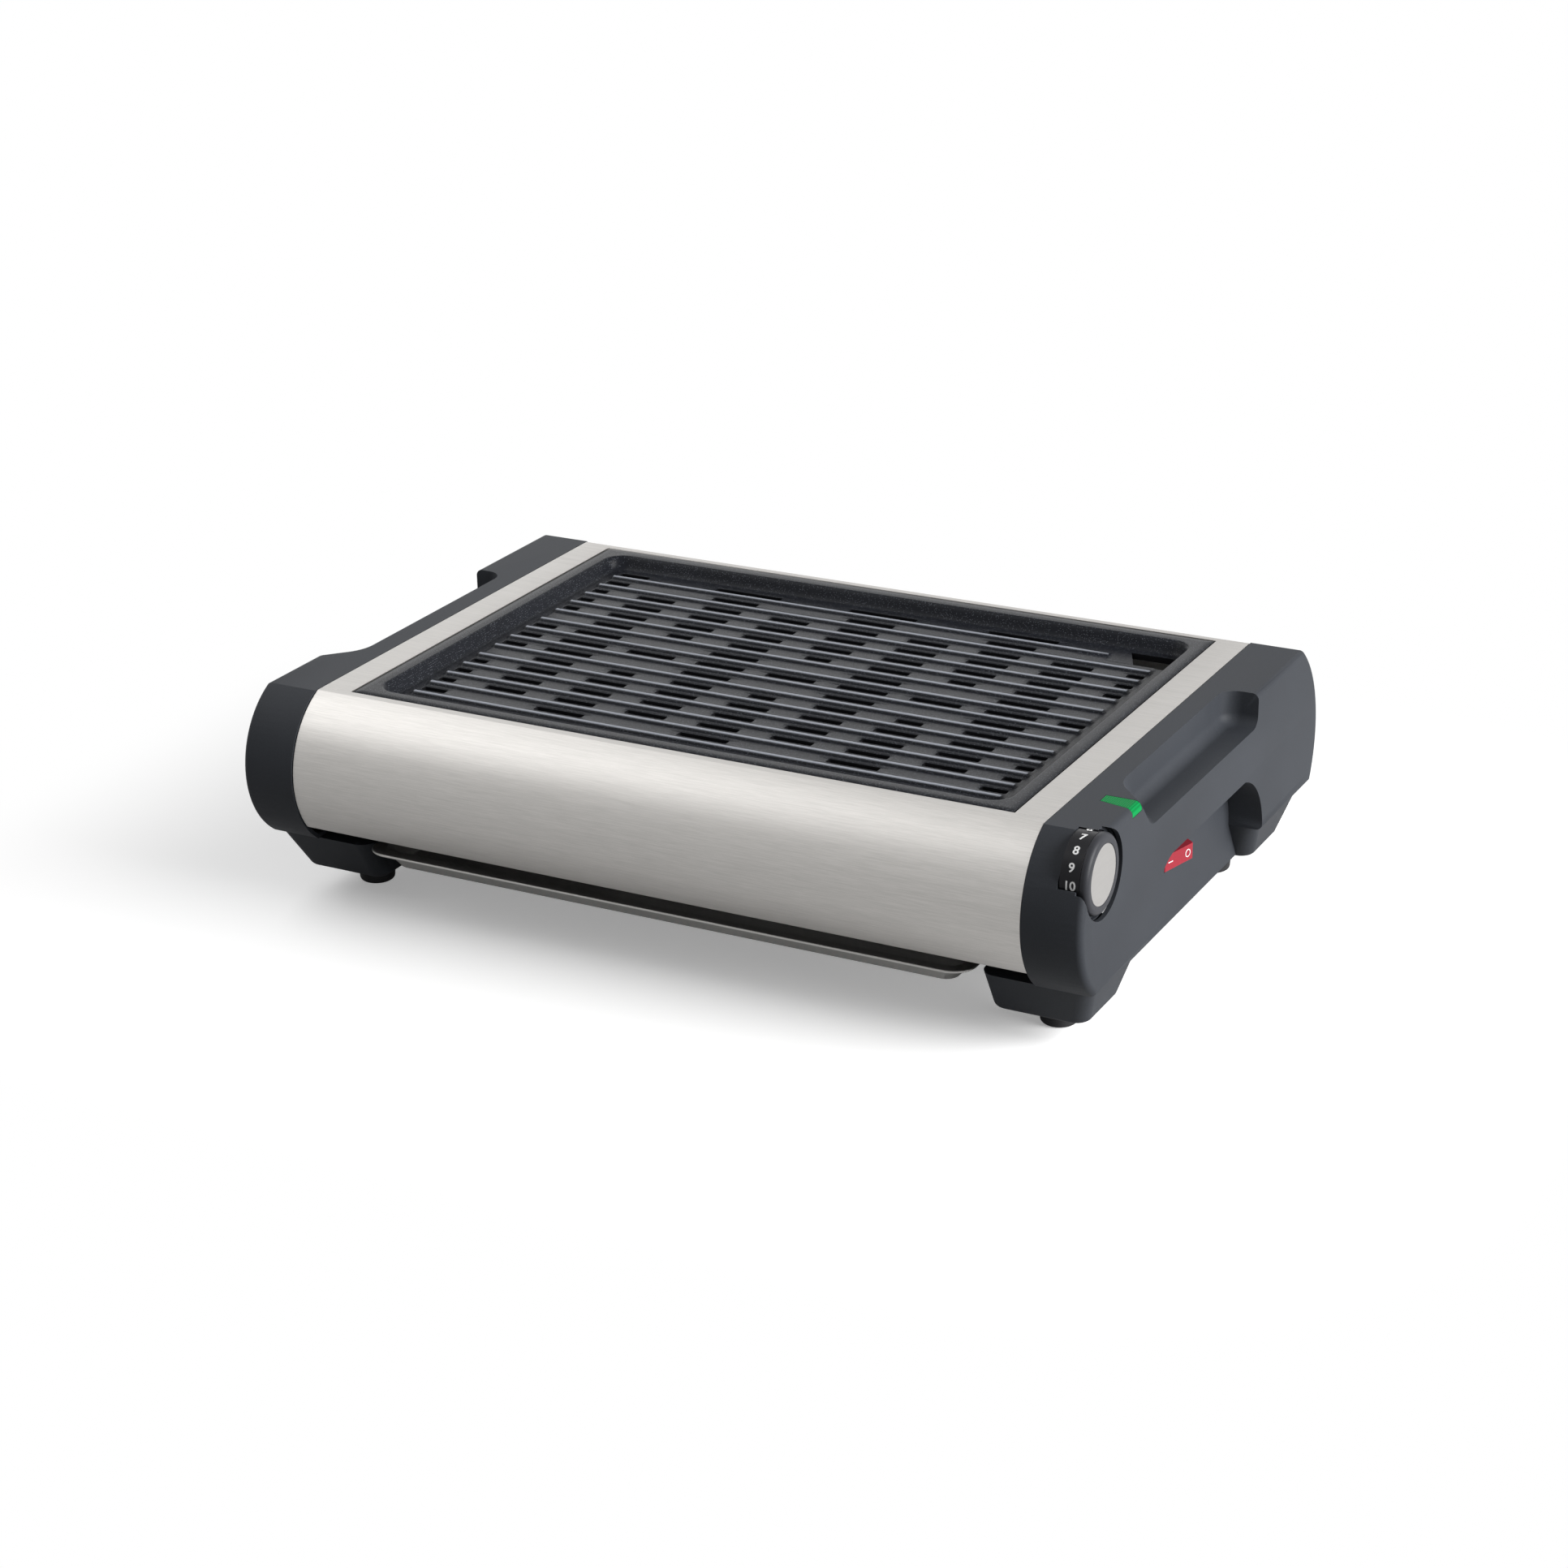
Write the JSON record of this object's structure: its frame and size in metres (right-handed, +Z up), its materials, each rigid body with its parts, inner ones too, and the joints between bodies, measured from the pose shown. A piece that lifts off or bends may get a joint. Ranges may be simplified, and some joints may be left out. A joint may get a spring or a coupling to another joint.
{
  "type": "electric indoor grill",
  "caption": "Countertop electric grill: slotted cast plate in a steel cover between plastic end caps with handles, a side dial, a rocker switch and a drip tray that slides out.",
  "frame": {"origin": "centre of the bounding box on the plane the rubber feet stand on", "axes": "+X to the right along the cover, +Z up, the front with the dial's numbers faces -Y"},
  "size_m": [0.521, 0.3604, 0.1315],
  "materials": {
    "cover_steel": "brushed",
    "cap_plastic": "satin",
    "inner_sheet": "satin",
    "foot_rubber": "matte",
    "screw_steel": "polished",
    "element_steel": "oxidised",
    "ceramic": "glazed",
    "terminal_brass": "bright",
    "green_lens": "translucent",
    "lamp_glass": "clear",
    "black_plastic": "satin",
    "plate_coating": "speckled non-stick",
    "tray_aluminium": "satin",
    "dial_plastic": "satin",
    "ring_plastic": "gloss",
    "insert_metal": "satin",
    "red_plastic": "gloss"
  },
  "bodies": {
    "housing": {"front_panel": "cover_steel", "deck_frame": "cover_steel", "rear_panel": "cover_steel", "left_end_cap": "cap_plastic", "right_end_cap": "cap_plastic", "left_side_plate": "inner_sheet", "right_side_plate": "inner_sheet", "heat_liner": "inner_sheet", "left_tray_rail": "inner_sheet", "right_tray_rail": "inner_sheet", "rubber_feet": "foot_rubber", "foot_screws": "screw_steel", "cap_screws": "screw_steel", "heating_element": "element_steel", "element_insulators": "ceramic", "element_pins": "terminal_brass", "element_supports": "inner_sheet", "thermostat_bracket": "inner_sheet", "thermostat_body": "ceramic", "sensor_probe": "element_steel", "indicator_lens": "green_lens", "indicator_lamp": "lamp_glass", "switch_housing": "black_plastic", "terminal_block": "black_plastic", "cord_inlet": "black_plastic"},
    "plate": {"grill_plate": "plate_coating"},
    "tray": {"drip_tray": "tray_aluminium"},
    "dial": {"dial_knob": "dial_plastic", "number_ring": "ring_plastic", "dial_insert": "insert_metal", "thermostat_shaft": "screw_steel"},
    "rocker": {"switch_rocker": "red_plastic"}
  },
  "joints": [
    {"name": "dial_turn", "type": "hinge", "parent": "housing", "child": "dial", "pos_m": [0.25, -0.15147, 0.1092], "axis": [1, 0, 0], "range_deg": [-98, 147]},
    {"name": "rocker_tilt", "type": "hinge", "parent": "housing", "child": "rocker", "pos_m": [0.234, 0.00233, 0.0568], "axis": [0, 0, 1], "range_deg": [0, 28]},
    {"name": "tray_slide", "type": "slide", "parent": "housing", "child": "tray", "axis": [0, -1, 0], "range_m": [0, 0.25]},
    {"name": "plate_lift", "type": "slide", "parent": "housing", "child": "plate", "axis": [0, 0, 1], "range_m": [0, 0.06]}
  ]
}
